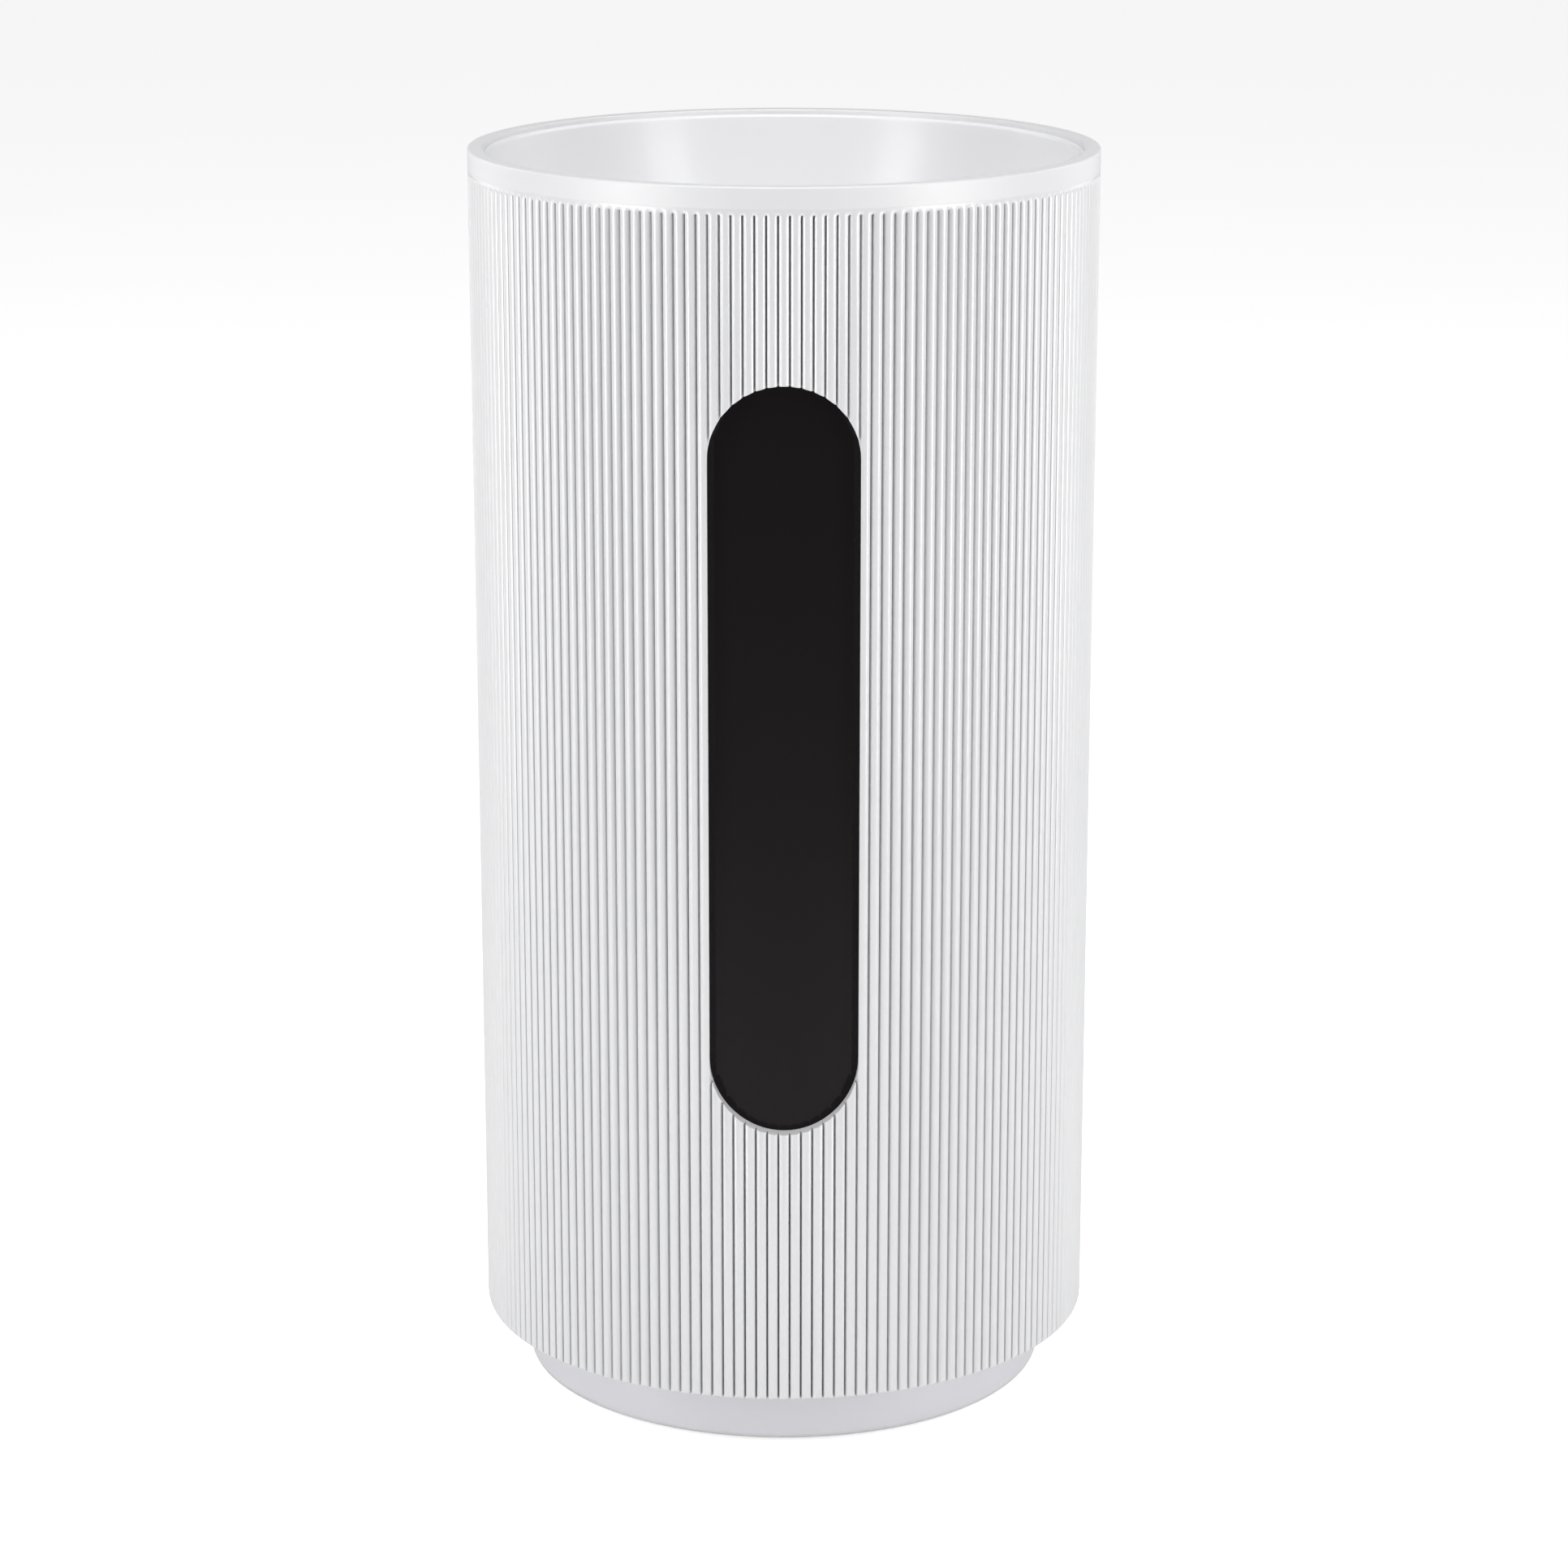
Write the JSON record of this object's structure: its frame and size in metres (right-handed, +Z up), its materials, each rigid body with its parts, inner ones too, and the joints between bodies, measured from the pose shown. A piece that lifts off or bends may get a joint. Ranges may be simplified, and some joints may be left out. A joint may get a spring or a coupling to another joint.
{
  "type": "air purifier",
  "caption": "Tall cylindrical air purifier with a reeded white sleeve, an open bowl outlet, a black pill-shaped window and a set-back grey plinth; the housing lifts off a round filter.",
  "frame": {"origin": "on the floor, at the middle of the base", "axes": "+Z up, the window faces -Y, +X to the right of someone who looks at the window"},
  "size_m": [0.2, 0.2, 0.406],
  "materials": {
    "reeded_white": "satin",
    "liner_white": "gloss",
    "lens_black": "gloss",
    "base_grey": "satin",
    "frame_grey": "matte",
    "dark_plastic": "matte",
    "rubber": "matte",
    "foam": "matte",
    "filter_paper": "matte",
    "filter_net": "matte",
    "carbon": "matte",
    "filter_cap": "satin",
    "steel": "brushed",
    "cast_weight": "rough",
    "magnet": "satin",
    "copper": "satin",
    "board": "satin",
    "electronics": "satin",
    "light": "frosted",
    "brass": "satin",
    "cable_black": "satin",
    "chassis_white": "satin"
  },
  "bodies": {
    "base": {"rubber_foot": "rubber", "plinth": "base_grey", "ballast_disc": "cast_weight", "filter_tray": "base_grey", "base_magnet": "magnet", "tray_screws": "steel", "latch_spring": "steel", "filter_cap_bottom": "filter_cap", "filter_cap_top": "filter_cap", "prefilter_net": "filter_net", "filter_media": "filter_paper", "carbon_core": "carbon", "filter_gasket": "foam"},
    "latch": {"latch_plate": "steel", "release_button": "base_grey"},
    "housing": {"sleeve": "reeded_white", "intake_ring": "base_grey", "frame_screws": "steel", "lock_studs": "steel", "frame": "frame_grey", "fan_deck": "frame_grey", "fan_duct": "frame_grey", "deck_screws": "steel", "diffuser": "frame_grey", "tail_cone": "chassis_white", "motor_base": "steel", "motor_grommets": "rubber", "motor_screws": "steel", "stator_core": "steel", "stator_windings": "copper", "bearing_lower": "steel", "bearing_upper": "steel", "outlet_bowl": "liner_white", "window_lens": "lens_black", "lens_bracket": "dark_plastic", "display_board": "board", "status_leds": "light", "light_guide": "light", "touch_pads": "foam", "hall_sensor": "electronics", "control_board": "board", "board_components": "electronics", "board_cover": "frame_grey", "inlet_plate": "base_grey", "power_socket": "dark_plastic", "socket_pins": "brass", "particle_sensor": "electronics", "motor_lead": "cable_black", "display_lead": "cable_black", "mains_lead": "cable_black"},
    "rotor": {"motor_can": "steel", "rotor_magnets": "magnet", "motor_shaft": "steel", "impeller": "chassis_white", "hub_nut": "brass"},
    "grille": {"outlet_grille": "liner_white", "grille_badge": "base_grey"}
  },
  "joints": [
    {"name": "latch_press", "type": "slide", "parent": "base", "child": "latch", "axis": [0, -1, 0], "range_m": [0, 0.005], "stiffness_N_per_m": 850, "springref_m": -0.0025, "deforming": ["latch_spring"]},
    {"name": "housing_lift", "type": "slide", "parent": "base", "child": "housing", "axis": [0, 0, 1], "range_m": [0, 0.22]},
    {"name": "fan_spin", "type": "hinge", "parent": "housing", "child": "rotor", "pos_m": [0, 0, 0.25], "axis": [0, 0, 1], "continuous": true},
    {"name": "grille_lift", "type": "slide", "parent": "housing", "child": "grille", "axis": [0, 0, 1], "range_m": [0, 0.08]}
  ]
}
